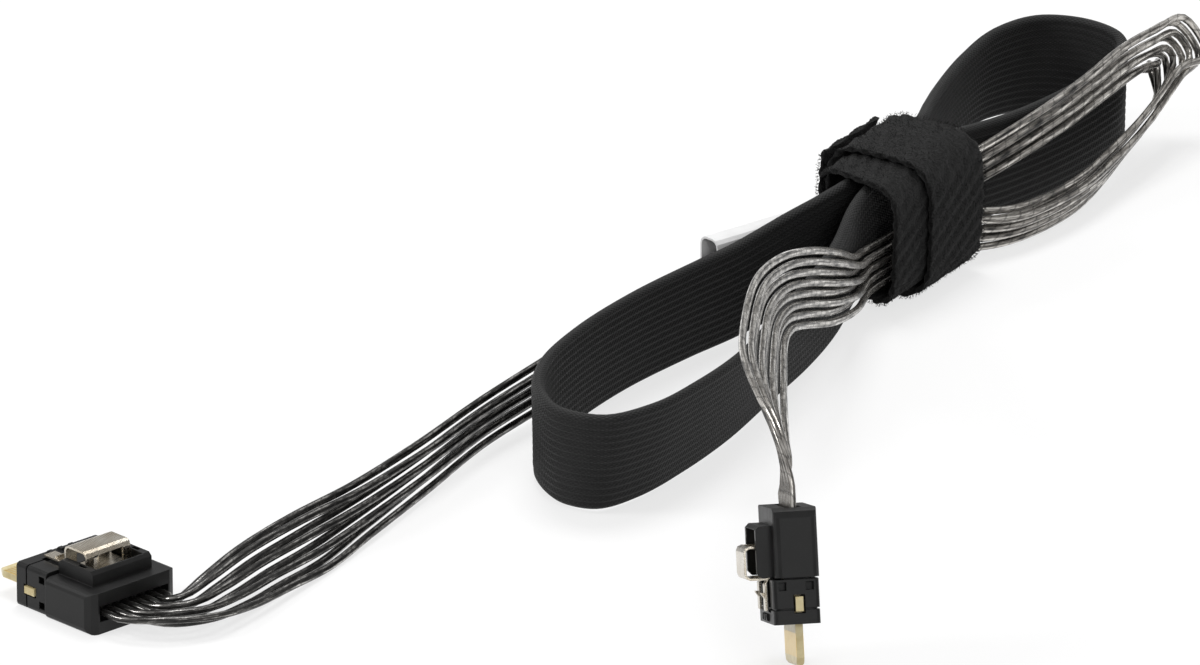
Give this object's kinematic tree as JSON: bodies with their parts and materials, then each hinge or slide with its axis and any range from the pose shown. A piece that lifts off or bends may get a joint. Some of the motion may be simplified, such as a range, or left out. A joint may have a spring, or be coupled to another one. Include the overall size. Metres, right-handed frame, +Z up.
{
  "type": "internal signal cable",
  "caption": "Internal signal cable folded into a tied hank, with a low-profile latching plug at each end.",
  "frame": {"origin": "middle of the hank's outline, on the surface it lies on", "axes": "+X along the hank, from the plugs towards the far loop; +Z up"},
  "size_m": [0.288, 0.1325, 0.0412],
  "materials": {
    "housing": "matte black",
    "card": "cream board with gold contacts",
    "resin": "matte",
    "latch_steel": "bright rolled",
    "strand_foil": "glossy film over foil",
    "sleeve_weave": "woven, matte",
    "strap_pile": "looped pile",
    "label_paper": "matte white film"
  },
  "bodies": {
    "cable": {"back_cover_a": "housing", "nose_a": "housing", "paddle_card_a": "card", "potting_a": "resin", "back_cover_b": "housing", "nose_b": "housing", "paddle_card_b": "card", "potting_b": "resin", "strand_a1": "strand_foil", "strand_a2": "strand_foil", "strand_a3": "strand_foil", "strand_a4": "strand_foil", "strand_a5": "strand_foil", "strand_a6": "strand_foil", "strand_a7": "strand_foil", "strand_a8": "strand_foil", "strand_b1": "strand_foil", "strand_b2": "strand_foil", "strand_b3": "strand_foil", "strand_b4": "strand_foil", "strand_b5": "strand_foil", "strand_b6": "strand_foil", "strand_b7": "strand_foil", "strand_b8": "strand_foil", "sleeve": "sleeve_weave", "hook_and_loop_strap": "strap_pile", "wrap_label": "label_paper"},
    "latch_spring_a": {"latch_a": "latch_steel"},
    "latch_spring_b": {"latch_b": "latch_steel"}
  },
  "joints": [
    {"name": "latch_a_press", "type": "hinge", "parent": "cable", "child": "latch_spring_a", "pos_m": [-0.13467, 0.0445, 0.00743], "axis": [-0.9539, 0.3, 0], "range_deg": [0, 3], "stiffness_Nm_per_rad": 0.2},
    {"name": "latch_b_press", "type": "hinge", "parent": "cable", "child": "latch_spring_b", "pos_m": [-0.10195, -0.05289, 0.02178], "axis": [-0.7612, -0.5591, 0.3287], "range_deg": [0, 3], "stiffness_Nm_per_rad": 0.2}
  ]
}
